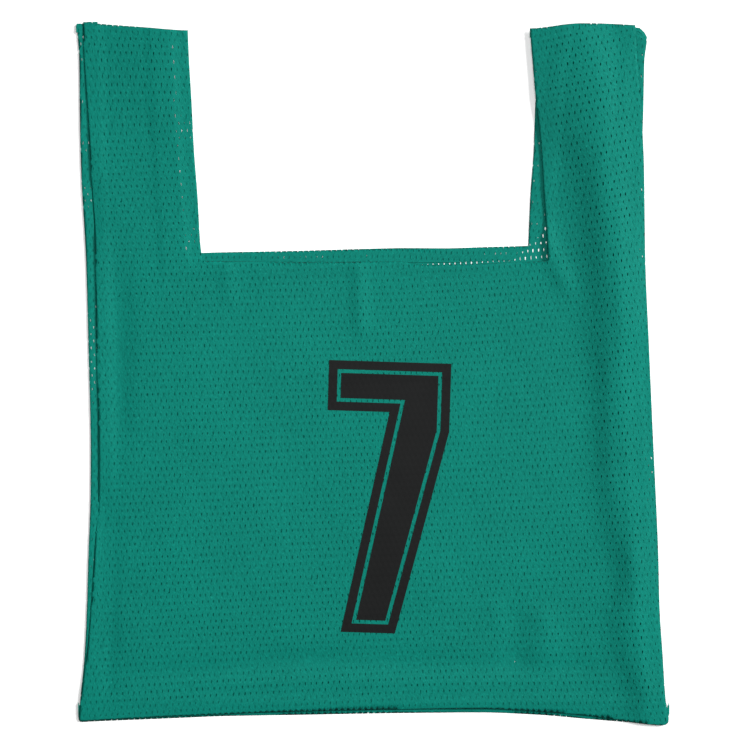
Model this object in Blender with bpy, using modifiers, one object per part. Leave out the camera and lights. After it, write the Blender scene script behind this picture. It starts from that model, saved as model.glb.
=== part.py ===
"""Mesh training bib laid flat: a front panel on a back panel, each a square-necked piece with two shoulder straps.

The tables are in millimetres and the model is in metres. +Z is up and +Y runs from the hem to the
shoulders. The origin is the middle of the bib's outline, on the surface that the bib lies on, and
CENTRE_X and CENTRE_Y say where that middle is in the tables.
"""

from collections import namedtuple
from dataclasses import dataclass

import bpy
import numpy as np

MM = 0.001

# Driving dimensions, in millimetres
WALL = 1.0
PLY_GAP = 0.3
HEM_WIDTH = 14.0
HEM_LIFT = WALL + PLY_GAP
HEM_MARGIN = 3.0
HEM_SLOPE = 11.0
LEFT_CORNER_RADIUS = 4.0
RIGHT_CORNER_RADIUS = 8.0
CELL = 24.0
BACK_CELL = 48.0
CENTRE_X = -0.186
CENTRE_Y = 0.330

# Distances from a panel's edge at which the front's net has a line, in millimetres
EDGE_STEPS = (2.5, 8.0, 17.0, 28.0)

# Outer edges of the panels, from the hem to the shoulders
Side = namedtuple("Side", "y front_left front_right back_left back_right")
SIDES = (
    Side(-348.0, -294.2, 296.6, -294.2, 295.9),
    Side(-326.0, -292.0, 292.8, -292.3, 291.9),
    Side(-281.0, -285.6, 289.8, -287.8, 286.9),
    Side(-232.0, -281.0, 286.7, -285.5, 281.9),
    Side(-181.0, -278.0, 285.5, -284.0, 278.4),
    Side(-118.0, -274.1, 282.8, -281.9, 274.4),
    Side(-76.0, -273.7, 280.8, -281.7, 271.9),
    Side(24.0, -275.8, 276.3, -283.9, 266.9),
    Side(114.0, -276.9, 272.4, -286.4, 264.4),
    Side(204.0, -281.4, 271.2, -291.3, 267.4),
    Side(254.0, -284.0, 268.9, -292.5, 270.4),
    Side(314.0, -288.0, 264.5, -293.2, 271.8),
    Side(336.3, -288.9, 263.2, -294.7, 274.3),
    Side(351.8, -289.4, 262.0, -296.3, 261.4),
)

# Edges of the straps on the neck side, from the neckline to the shoulders
Strap = namedtuple("Strap", "y front_left front_right back_left back_right")
STRAPS = (
    Strap(112.3, -170.1, 174.7, -187.5, 155.0),
    Strap(134.3, -172.5, 174.1, -188.7, 155.8),
    Strap(174.3, -174.7, 171.3, -191.2, 157.4),
    Strap(224.3, -178.5, 168.7, -194.7, 161.0),
    Strap(274.3, -181.0, 162.8, -198.7, 162.8),
    Strap(314.3, -183.4, 159.4, -200.7, 168.4),
    Strap(345.3, -184.7, 156.9, -201.7, 172.4),
)

# Lines across the bib, from its left side to its right side
Line = namedtuple("Line", "x front back")
HEM = (
    Line(-294.0, -346.7, -347.6),
    Line(-205.7, -341.8, -344.0),
    Line(-142.7, -339.2, -341.5),
    Line(-72.7, -336.6, -340.4),
    Line(17.3, -334.8, -338.8),
    Line(107.3, -333.8, -338.0),
    Line(163.3, -336.6, -340.1),
    Line(219.3, -341.5, -344.8),
    Line(257.3, -346.8, -348.0),
    Line(277.3, -349.8, -350.3),
    Line(296.6, -351.5, -351.7),
)
NECKLINE = (
    Line(-170.0, 113.2, 120.8),
    Line(-140.7, 112.8, 121.8),
    Line(-72.7, 112.2, 123.2),
    Line(15.3, 112.6, 125.8),
    Line(37.3, 109.4, 126.2),
    Line(75.3, 109.9, 126.0),
    Line(114.3, 111.3, 127.2),
    Line(154.3, 113.2, 128.4),
)
SHOULDERS = (
    Line(-295.0, 352.2, 350.4),
    Line(-239.1, 347.5, 346.8),
    Line(-184.0, 343.7, 343.0),
    Line(156.9, 345.3, 344.6),
    Line(207.8, 350.1, 349.4),
    Line(227.4, 350.3, 349.6),
    Line(264.0, 348.7, 346.0),
)

# The long soft roll down the front's right side: where its crest is, and how wide its two flanks are
Roll = namedtuple("Roll", "y crest height left_flank right_flank")
RIGHT_ROLL = (
    Roll(-350.0, 270.0, 1.0, 14.0, 14.0),
    Roll(-316.0, 266.0, 2.6, 16.0, 17.0),
    Roll(-246.0, 260.0, 3.4, 18.0, 18.0),
    Roll(-186.0, 257.0, 3.4, 18.0, 19.0),
    Roll(-106.0, 248.0, 3.6, 19.0, 22.0),
    Roll(54.0, 243.0, 4.4, 20.0, 24.0),
    Roll(134.0, 239.0, 5.4, 24.0, 26.0),
    Roll(194.0, 232.0, 6.0, 28.0, 28.0),
    Roll(264.0, 220.0, 4.6, 27.0, 32.0),
    Roll(350.0, 204.0, 1.6, 24.0, 36.0),
)

# Shorter soft folds of the front, each a ridge from one place to another
Fold = namedtuple("Fold", "x_start y_start x_end y_end height width")
FOLDS = (
    Fold(-258.0, 110.0, -256.0, -70.0, 2.6, 13.0),
    Fold(-268.0, -150.0, -258.0, -290.0, 2.0, 13.0),
    Fold(-250.0, 330.0, -262.0, 190.0, 1.8, 17.0),
    Fold(-14.0, 108.0, -12.0, 40.0, 1.6, 9.0),
    Fold(172.0, 104.0, 198.0, 62.0, 1.6, 7.0),
    Fold(-170.0, 108.0, -140.0, 50.0, 1.2, 8.0),
    Fold(176.0, -230.0, 186.0, -292.0, 2.0, 13.0),
    Fold(-60.0, -270.0, 130.0, -286.0, 1.2, 14.0),
)

# Colours of the cloth, as linear red, green and blue
FRONT_GREEN = (0.008, 0.170, 0.125)
BACK_GREEN = (0.010, 0.150, 0.110)
HEM_GREEN = (0.007, 0.130, 0.095)
CLOTH_ROUGHNESS = 0.75


def column(rows, name):
    """One named column of a table as an array."""
    return np.array([getattr(row, name) for row in rows], dtype=float)


def curve(places, values, at):
    """Smooth curve through a table's rows that never swings past them: a monotone cubic, flat beyond its ends."""
    steps = np.diff(places)
    secants = np.diff(values) / steps
    slopes = np.empty_like(values)
    slopes[0], slopes[-1] = secants[0], secants[-1]
    product = secants[:-1] * secants[1:]
    total = secants[:-1] + secants[1:]
    slopes[1:-1] = np.where(product > 0, 2 * product / np.where(total == 0, 1, total), 0)
    at = np.clip(at, places[0], places[-1])
    index = np.clip(np.searchsorted(places, at, side="right") - 1, 0, len(steps) - 1)
    step = steps[index]
    part = (at - places[index]) / step
    rise = part * part * (3 - 2 * part)
    leave = part * (1 - part) ** 2
    arrive = part * part * (part - 1)
    return (values[index] * (1 - rise) + values[index + 1] * rise
            + step * (slopes[index] * leave + slopes[index + 1] * arrive))


def ease(part):
    """Smooth step from 0 to 1 as its argument goes from 0 to 1."""
    part = np.clip(part, 0, 1)
    return part * part * (3 - 2 * part)


@dataclass(frozen=True)
class Cut:
    """Plan of one panel as it lies, with fractions u across and v up: 0 hem, 1 neckline, 2 shoulders."""

    side: str

    def left(self, y):
        """The outer left edge at a height."""
        return curve(column(SIDES, "y"), column(SIDES, f"{self.side}_left"), y)

    def right(self, y):
        """The outer right edge at a height."""
        return curve(column(SIDES, "y"), column(SIDES, f"{self.side}_right"), y)

    def strap_left(self, y):
        """The left strap's edge on the neck side."""
        return curve(column(STRAPS, "y"), column(STRAPS, f"{self.side}_left"), y)

    def strap_right(self, y):
        """The right strap's edge on the neck side."""
        return curve(column(STRAPS, "y"), column(STRAPS, f"{self.side}_right"), y)

    def line(self, rows, x):
        """Height of the hem, the neckline or the shoulders at a place across."""
        return curve(column(rows, "x"), column(rows, self.side), x)

    def across(self, u):
        """Place across, on a bib as wide as at its hem, for reading the lines."""
        low = SIDES[0].y
        return self.left(low) + u * (self.right(low) - self.left(low))

    def neck_corners(self):
        """Fractions across of the two corners of the neck."""
        found = []
        for edge, row in ((self.strap_left, NECKLINE[0]), (self.strap_right, NECKLINE[-1])):
            y = getattr(row, self.side)
            found.append(float((edge(y) - self.left(y)) / (self.right(y) - self.left(y))))
        return tuple(found)

    def hem(self, u):
        """Height of the hem, with the corners of the panel rounded."""
        x = self.across(u)
        y = self.line(HEM, x)
        for radius, inside in ((LEFT_CORNER_RADIUS, x - self.across(0.0)), (RIGHT_CORNER_RADIUS, self.across(1.0) - x)):
            short = np.clip(radius - inside, 0, radius)
            y = y + radius - np.sqrt(radius * radius - short * short)
        return y

    def neckline(self, u):
        """Height of the neckline, level beyond its corners."""
        low, high = self.neck_corners()
        ends = (NECKLINE[0].x, NECKLINE[-1].x)
        return self.line(NECKLINE, np.interp(u, (low, high), ends))

    def shoulders(self, u, y):
        """Height of the shoulders above a point on a strap."""
        return self.line(SHOULDERS, self.left(y) + u * (self.right(y) - self.left(y)))

    def plan(self, u, v):
        """Place of a point, from its fractions across and up."""
        low, high = self.neck_corners()
        u, v = np.broadcast_arrays(u, v)
        hem, neck = self.hem(u), self.neckline(u)
        above = neck + (v - 1) * (self.shoulders(self.strap_fraction(u), SHOULDERS[0].front) - neck)
        y = np.where(v <= 1, hem + v * (neck - hem), above)
        left, right = self.left(y), self.right(y)
        body = left + u * (right - left)
        left_strap = left + u / low * (self.strap_left(y) - left)
        right_strap = right - (1 - u) / (1 - high) * (right - self.strap_right(y))
        strap = np.where(u <= (low + high) / 2, left_strap, right_strap)
        return np.where(v <= 1, body, strap), y

    def strap_fraction(self, u):
        """Fraction across at the shoulders of the line that leaves the neck's level at a fraction."""
        low, high = self.neck_corners()
        top = SHOULDERS[0].front
        width = self.right(top) - self.left(top)
        inner_left = (self.strap_left(top) - self.left(top)) / width
        inner_right = (self.strap_right(top) - self.left(top)) / width
        return np.interp(u, (0, low, high, 1), (0, inner_left, inner_right, 1))


FRONT = Cut("front")
BACK = Cut("back")


def roll_height(x, y):
    """Rise of the long roll down the right side."""
    places = column(RIGHT_ROLL, "y")
    crest = curve(places, column(RIGHT_ROLL, "crest"), y)
    height = curve(places, column(RIGHT_ROLL, "height"), y)
    flank = np.where(x < crest, curve(places, column(RIGHT_ROLL, "left_flank"), y),
                     curve(places, column(RIGHT_ROLL, "right_flank"), y))
    return height * np.exp(-((x - crest) / flank) ** 2)


def fold_height(fold, x, y):
    """Rise of one short fold, fading out at both of its ends."""
    along_x, along_y = fold.x_end - fold.x_start, fold.y_end - fold.y_start
    length = np.hypot(along_x, along_y)
    along = ((x - fold.x_start) * along_x + (y - fold.y_start) * along_y) / length
    aside = ((x - fold.x_start) * along_y - (y - fold.y_start) * along_x) / length
    past = np.maximum(0, np.abs(along - length / 2) - length / 3)
    return fold.height * np.exp(-(aside / fold.width) ** 2 - (past / (length / 5)) ** 2)


def hem_cover(x, y):
    """How far the front rides up on the back's turned hems, from 0 in the middle to 1 over a hem."""
    def near(inside):
        """Full over a hem and a margin, then falling away."""
        return 1 - ease((inside - HEM_WIDTH - HEM_MARGIN) / HEM_SLOPE)
    def beyond(outside):
        """Full up to a hem's width past an end, then falling away."""
        return 1 - ease((outside - HEM_WIDTH - HEM_MARGIN) / HEM_SLOPE)
    half = HEM_WIDTH / 2
    over_neck = (near(np.abs(BACK.line(NECKLINE, x) - half - y) + half)
                 * beyond(BACK.strap_left(y) - x) * beyond(x - BACK.strap_right(y)))
    over_strap = near(np.abs(x - BACK.strap_right(y))) * ease((y - NECKLINE[0].front) / HEM_WIDTH)
    return 1 - ((1 - near(x - BACK.left(y))) * (1 - near(y - BACK.line(HEM, x)))
                * (1 - over_neck) * (1 - over_strap))


def front_underside(x, y):
    """Height of the front's lower face: on the back, over its hems, and up in the folds."""
    height = WALL + PLY_GAP + HEM_LIFT * hem_cover(x, y) + roll_height(x, y)
    for fold in FOLDS:
        height = height + fold_height(fold, x, y)
    return height


def back_underside(x, y):
    """The back lies flat on the surface."""
    return np.zeros_like(x)


def hem_underside(x, y):
    """A turned hem lies on the back's inner face."""
    return np.full_like(x, WALL + PLY_GAP)


def steps_between(start, end, length, cell, near_start=(), near_end=()):
    """Fractions from start to end: even cells, with lines at set distances from the ends."""
    lows = [step / length for step in near_start]
    highs = [1 - step / length for step in near_end][::-1]
    first, last = (lows[-1] if lows else 0), (highs[0] if highs else 1)
    cells = max(1, round((last - first) * length / cell))
    even = np.linspace(first, last, cells + 1)
    inner = even[(1 if lows else 0):(-1 if highs else None)]
    fractions = np.unique(np.concatenate([[0.0], lows, inner, highs, [1.0]]))
    return start + (end - start) * fractions


def add_sheet(name, cut, across, up, underside, colour, collection):
    """A panel or a strip of one: a net over the fractions given, then a wall of cloth on it.

    The net leaves out the cells of the neck, which is open above the neckline.
    """
    u, v = np.meshgrid(across, up)
    x, y = cut.plan(u, v)
    z = underside(x, y)
    points = np.stack([x - CENTRE_X, y - CENTRE_Y, z], axis=-1).reshape(-1, 3) * MM
    number = np.arange(u.size).reshape(u.shape)
    cells = np.stack([number[:-1, :-1], number[:-1, 1:], number[1:, 1:], number[1:, :-1]], axis=-1)
    middle_u = (across[:-1] + across[1:]) / 2
    middle_v = (up[:-1] + up[1:]) / 2
    low, high = cut.neck_corners()
    in_neck = (middle_v[:, None] > 1) & (middle_u[None, :] > low) & (middle_u[None, :] < high)
    faces = cells[~in_neck]
    used = np.unique(faces)
    renumber = np.zeros(u.size, dtype=int)
    renumber[used] = np.arange(len(used))

    mesh = bpy.data.meshes.new(name)
    mesh.from_pydata(points[used].tolist(), [], renumber[faces].tolist())
    mesh.validate()
    mesh.shade_smooth()
    sheet = bpy.data.objects.new(name, mesh)
    collection.objects.link(sheet)
    mesh.materials.append(cloth_material(f"{name}_cloth", colour))
    wall = sheet.modifiers.new("Wall", "SOLIDIFY")
    wall.thickness = WALL * MM
    wall.offset = 1.0
    wall.use_even_offset = False
    return sheet


def cloth_material(name, colour):
    """Matt polyester knit of one colour."""
    material = bpy.data.materials.new(name)
    material.use_nodes = True
    surface = material.node_tree.nodes["Principled BSDF"]
    surface.inputs["Base Color"].default_value = (*colour, 1.0)
    surface.inputs["Roughness"].default_value = CLOTH_ROUGHNESS
    surface.inputs["Metallic"].default_value = 0.0
    return material


def panel_lines(cut, cell, steps):
    """Fractions across and up of a panel's net, with lines at the corners of the neck."""
    low, high = cut.neck_corners()
    wide = cut.right(0.0) - cut.left(0.0)
    across = np.concatenate([
        steps_between(0, low, low * wide, cell, near_start=steps, near_end=steps[:2]),
        steps_between(low, high, (high - low) * wide, cell, near_start=steps[:1], near_end=steps[:1]),
        steps_between(high, 1, (1 - high) * wide, cell / 2, near_start=steps[:3], near_end=steps[:2]),
    ])
    body = NECKLINE[0].front - HEM[0].front
    strap = SHOULDERS[0].front - NECKLINE[0].front
    up = np.concatenate([
        steps_between(0, 1, body, cell, near_start=steps, near_end=steps),
        steps_between(1, 2, strap, cell, near_start=steps, near_end=steps[:1]),
    ])
    return np.unique(across.round(6)), np.unique(up.round(6))


def add_front(collection):
    """The front panel, which lies on the back and keeps the soft folds."""
    across, up = panel_lines(FRONT, CELL, EDGE_STEPS)
    return add_sheet("front_panel", FRONT, across, up, front_underside, FRONT_GREEN, collection)


def add_back(collection):
    """The back panel, flat on the surface."""
    across, up = panel_lines(BACK, BACK_CELL, EDGE_STEPS[:1])
    return add_sheet("back_panel", BACK, across, up, back_underside, BACK_GREEN, collection)


def add_hems(collection):
    """The turned edges of the back that show past the front, lying on its inner face."""
    low, high = BACK.neck_corners()
    wide = BACK.right(0.0) - BACK.left(0.0)
    tall = NECKLINE[0].back - HEM[0].back
    strap = SHOULDERS[0].front - NECKLINE[0].back
    side, rise, clear = HEM_WIDTH / wide, HEM_WIDTH / tall, PLY_GAP / wide
    whole = steps_between(0, 1, tall, CELL)
    neck_across = low + (high - low) * steps_between(0, 1, (high - low) * wide, CELL)
    long_up = np.unique(np.concatenate([whole, 1 + steps_between(0, 1, strap, CELL)]).round(6))
    strap_up = 1 + PLY_GAP / strap + (1 - PLY_GAP / strap) * steps_between(0, 1, strap, CELL)
    corner = RIGHT_CORNER_RADIUS / wide
    hem_across = side + clear + (1 - side - clear - corner) * steps_between(0, 1, wide, CELL)
    strips = (
        ("back_neck_hem", neck_across, np.array([1 - rise, 1.0])),
        ("back_left_hem", np.array([0.0, side]), long_up),
        ("back_strap_hem", np.array([high, high + side]), strap_up),
        ("back_bottom_hem", hem_across, np.array([0.0, rise])),
    )
    return [add_sheet(name, BACK, across, up, hem_underside, HEM_GREEN, collection) for name, across, up in strips]


def main():
    """Build the bib in a collection of its own."""
    for found in list(bpy.data.objects):
        bpy.data.objects.remove(found, do_unlink=True)
    collection = bpy.data.collections.new("mesh_training_bib")
    bpy.context.scene.collection.children.link(collection)
    add_back(collection)
    add_hems(collection)
    add_front(collection)


main()
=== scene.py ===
"""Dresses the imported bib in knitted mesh: two panels, a printed number, floor, light and camera.

The tables are in millimetres, as in the part's own source, and everything built is in metres. +Z is
up and +Y runs from the hem to the shoulders.
"""

import logging
import math
from dataclasses import dataclass, field
from enum import Enum
from typing import Any, NamedTuple

import bmesh
import bpy
import numpy as np
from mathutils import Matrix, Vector


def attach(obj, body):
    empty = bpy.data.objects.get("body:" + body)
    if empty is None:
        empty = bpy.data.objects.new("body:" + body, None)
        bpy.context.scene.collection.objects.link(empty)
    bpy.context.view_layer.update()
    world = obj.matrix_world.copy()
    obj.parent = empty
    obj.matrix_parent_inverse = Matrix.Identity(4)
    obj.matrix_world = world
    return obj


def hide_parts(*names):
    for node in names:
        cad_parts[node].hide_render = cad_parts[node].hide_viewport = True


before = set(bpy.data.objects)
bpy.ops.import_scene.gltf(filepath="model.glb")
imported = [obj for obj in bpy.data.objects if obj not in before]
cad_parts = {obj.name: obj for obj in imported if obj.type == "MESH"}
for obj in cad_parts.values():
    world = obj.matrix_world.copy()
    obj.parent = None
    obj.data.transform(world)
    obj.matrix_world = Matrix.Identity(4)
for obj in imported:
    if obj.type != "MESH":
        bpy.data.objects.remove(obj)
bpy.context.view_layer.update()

LOG = logging.getLogger("mesh_training_bib")

MM = 0.001
CENTRE_X = -0.186
CENTRE_Y = 0.330
LEFT_CORNER_RADIUS = 4.0
RIGHT_CORNER_RADIUS = 8.0
NET_WIDTH = 680.0
NET_LENGTH = 780.0
NARROWEST = 560.0
SHORTEST = 230.0

Array = np.ndarray


class SideRow(NamedTuple):
    """Outer edges of the two panels at one height."""

    y: float
    front_left: float
    front_right: float
    back_left: float
    back_right: float


class StrapRow(NamedTuple):
    """Edges of the straps on the neck side at one height."""

    y: float
    front_left: float
    front_right: float
    back_left: float
    back_right: float


class LineRow(NamedTuple):
    """Height of a line that runs across the bib, on each panel, at one place across."""

    x: float
    front: float
    back: float


class RollRow(NamedTuple):
    """The long roll's crest, height and two flanks at one height of the bib."""

    y: float
    crest: float
    height: float
    left_flank: float
    right_flank: float


class Fold(NamedTuple):
    """A short soft ridge, or a trough where its height is negative, from one place to another."""

    x_start: float
    y_start: float
    x_end: float
    y_end: float
    height: float
    width: float


class GrainRow(NamedTuple):
    """Rise of the rows of holes and lean of their columns, in degrees, at each of GRAIN_PLACES."""

    y: float
    rises: tuple[float, ...]
    leans: tuple[float, ...]


SIDES = (
    SideRow(-348.0, -294.2, 296.6, -294.2, 295.9),
    SideRow(-326.0, -292.0, 292.8, -292.3, 291.9),
    SideRow(-281.0, -285.6, 289.8, -287.8, 286.9),
    SideRow(-232.0, -281.0, 286.7, -285.5, 281.9),
    SideRow(-181.0, -278.0, 285.5, -284.0, 278.4),
    SideRow(-118.0, -274.1, 282.8, -281.9, 274.4),
    SideRow(-76.0, -273.7, 280.8, -281.7, 271.9),
    SideRow(24.0, -275.8, 276.3, -283.9, 266.9),
    SideRow(114.0, -276.9, 272.4, -286.4, 264.4),
    SideRow(204.0, -281.4, 271.2, -291.3, 267.4),
    SideRow(254.0, -284.0, 268.9, -292.5, 270.4),
    SideRow(314.0, -288.0, 264.5, -293.2, 271.8),
    SideRow(336.3, -288.9, 263.2, -294.7, 274.3),
    SideRow(351.8, -289.4, 262.0, -296.3, 261.4),
)
STRAPS = (
    StrapRow(112.3, -170.1, 174.7, -187.5, 155.0),
    StrapRow(134.3, -172.5, 174.1, -188.7, 155.8),
    StrapRow(174.3, -174.7, 171.3, -191.2, 157.4),
    StrapRow(224.3, -178.5, 168.7, -194.7, 161.0),
    StrapRow(274.3, -181.0, 162.8, -198.7, 162.8),
    StrapRow(314.3, -183.4, 159.4, -200.7, 168.4),
    StrapRow(345.3, -184.7, 156.9, -201.7, 172.4),
)
HEM = (
    LineRow(-294.0, -346.7, -347.6),
    LineRow(-205.7, -341.8, -344.0),
    LineRow(-142.7, -339.2, -341.5),
    LineRow(-72.7, -336.6, -340.4),
    LineRow(17.3, -334.8, -338.8),
    LineRow(107.3, -333.8, -338.0),
    LineRow(163.3, -336.6, -340.1),
    LineRow(219.3, -341.5, -344.8),
    LineRow(257.3, -346.8, -348.0),
    LineRow(277.3, -349.8, -350.3),
    LineRow(296.6, -351.5, -351.7),
)
NECKLINE = (
    LineRow(-170.0, 113.2, 120.8),
    LineRow(-140.7, 112.8, 121.8),
    LineRow(-72.7, 112.2, 123.2),
    LineRow(15.3, 112.6, 125.8),
    LineRow(37.3, 109.4, 126.2),
    LineRow(75.3, 109.9, 126.0),
    LineRow(114.3, 111.3, 127.2),
    LineRow(154.3, 113.2, 128.4),
)
SHOULDERS = (
    LineRow(-295.0, 352.2, 350.4),
    LineRow(-239.1, 347.5, 346.8),
    LineRow(-184.0, 343.7, 343.0),
    LineRow(156.9, 345.3, 344.6),
    LineRow(207.8, 350.1, 349.4),
    LineRow(227.4, 350.3, 349.6),
    LineRow(264.0, 348.7, 346.0),
)
RIGHT_ROLL = (
    RollRow(-350.0, 271.0, 1.5, 13.0, 14.0),
    RollRow(-316.0, 268.0, 3.4, 14.0, 17.0),
    RollRow(-276.0, 260.0, 3.8, 17.0, 18.0),
    RollRow(-246.0, 257.0, 4.6, 18.0, 18.0),
    RollRow(-196.0, 259.0, 5.5, 16.0, 18.0),
    RollRow(-146.0, 251.0, 5.2, 20.0, 23.0),
    RollRow(-96.0, 241.0, 5.6, 18.0, 25.0),
    RollRow(-46.0, 241.0, 6.2, 18.0, 21.0),
    RollRow(4.0, 240.0, 6.4, 18.0, 22.0),
    RollRow(54.0, 243.0, 8.0, 24.0, 25.0),
    RollRow(104.0, 239.0, 8.8, 24.0, 26.0),
    RollRow(134.0, 236.0, 9.2, 24.0, 25.0),
    RollRow(194.0, 230.0, 9.6, 26.0, 26.0),
    RollRow(254.0, 224.0, 9.4, 42.0, 31.0),
    RollRow(284.0, 222.0, 8.0, 52.0, 31.0),
    RollRow(314.0, 216.0, 6.8, 48.0, 29.0),
    RollRow(350.0, 202.0, 5.0, 40.0, 27.0),
)
FOLDS = (
    Fold(-255.0, 110.0, -253.0, -70.0, -1.7, 14.0),
    Fold(-268.0, -110.0, -266.0, -305.0, -1.7, 13.0),
    Fold(-214.0, 356.0, -214.0, 260.0, 1.5, 34.0),
    Fold(-281.0, 190.0, -279.0, 140.0, -1.5, 13.0),
    Fold(-14.0, 112.0, -12.0, 40.0, 1.5, 8.0),
    Fold(-146.0, 112.0, -143.0, 70.0, 0.9, 8.0),
    Fold(169.0, 146.0, 194.0, 84.0, 2.4, 10.0),
    Fold(171.0, -235.0, 171.0, -295.0, 1.5, 15.0),
    Fold(142.0, -235.0, 142.0, -295.0, -1.0, 12.0),
    Fold(122.0, -226.0, 122.0, -254.0, 0.7, 10.0),
    Fold(-250.0, -302.0, -52.0, -286.0, -1.3, 12.0),
    Fold(-82.0, -285.0, 232.0, -293.0, -1.3, 12.0),
    Fold(-170.0, -309.0, 170.0, -308.0, 1.0, 8.0),
    Fold(-175.0, -329.0, 190.0, -328.0, 0.8, 6.0),
    Fold(-108.0, 2.0, 130.0, -2.0, 0.45, 5.5),
)
GRAIN_PLACES = (-262.0, -122.0, 28.0, 128.0, 208.0, 262.0)
GRAIN = (
    GrainRow(-316.0, (3.4, 3.3, 3.0, -0.4, 1.4, 3.8), (-6.7, -5.5, 1.5, 3.5, 5.6, 6.1)),
    GrainRow(-276.0, (3.1, 2.7, 2.1, 2.0, 1.9, 3.2), (-3.8, -0.5, 1.0, 1.9, 3.0, 4.6)),
    GrainRow(-226.0, (2.8, 3.0, 2.5, 2.6, 2.8, 3.2), (-2.7, -0.7, 0.7, 1.5, 1.2, 1.1)),
    GrainRow(-126.0, (2.1, 2.5, 2.1, 2.9, 3.2, 4.5), (-1.3, -0.8, 0.3, 1.8, 3.4, 2.7)),
    GrainRow(-26.0, (1.6, 1.8, 2.3, 3.5, 4.5, 6.9), (0.6, 0.0, 0.0, 0.8, 2.3, 3.5)),
    GrainRow(74.0, (0.5, 1.3, 1.8, 4.0, 4.7, 9.9), (2.3, 1.2, 1.4, 1.7, 2.8, 3.1)),
    GrainRow(164.0, (1.0, 2.8, 3.0, 5.0, 7.3, 13.4), (4.1, 5.0, 3.0, 3.5, 5.1, 3.9)),
    GrainRow(244.0, (2.6, 3.0, 5.0, 8.0, 10.5, 13.3), (5.6, 5.2, 5.0, 5.0, 5.5, 2.9)),
    GrainRow(324.0, (-2.1, -2.2, 4.0, 9.0, 13.4, 13.2), (5.0, 4.4, 4.4, 5.0, 5.9, 5.2)),
)


def column(rows: tuple, name: str) -> Array:
    """One named column of a table as an array."""
    return np.array([getattr(row, name) for row in rows], dtype=float)


def curve(places: Array, values: Array, at: Array) -> Array:
    """Smooth curve through a table's rows: a monotone cubic, flat beyond its ends.

    Each piece is y0 (1 - r) + y1 r + h (m0 p (1 - p)^2 + m1 p^2 (p - 1)), with r = p^2 (3 - 2p).

    Args:
        places: where the rows stand, rising.
        values: what the rows hold.
        at: where the curve is read.

    Returns:
        The curve's values at those places.
    """
    steps = np.diff(places)
    secants = np.diff(values) / steps
    slopes = np.empty_like(values)
    slopes[0], slopes[-1] = secants[0], secants[-1]
    product = secants[:-1] * secants[1:]
    total = secants[:-1] + secants[1:]
    slopes[1:-1] = np.where(product > 0, 2 * product / np.where(total == 0, 1, total), 0)
    at = np.clip(at, places[0], places[-1])
    index = np.clip(np.searchsorted(places, at, side="right") - 1, 0, len(steps) - 1)
    step = steps[index]
    part = (at - places[index]) / step
    rise = part * part * (3 - 2 * part)
    leave = part * (1 - part) ** 2
    arrive = part * part * (part - 1)
    return (values[index] * (1 - rise) + values[index + 1] * rise
            + step * (slopes[index] * leave + slopes[index + 1] * arrive))


def ease(part: Array) -> Array:
    """Smooth step p^2 (3 - 2p) from 0 to 1."""
    part = np.clip(part, 0, 1)
    return part * part * (3 - 2 * part)


class Ply(Enum):
    """Which of the bib's two panels."""

    FRONT = "front"
    BACK = "back"


class Region(Enum):
    """Part of a panel: its face, or one of the allowances that are turned in."""

    FACE = 0
    LEFT = 1
    RIGHT = 2
    HEM = 3
    SHOULDER = 4
    LEFT_STRAP = 5
    RIGHT_STRAP = 6
    NECK = 7


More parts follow.
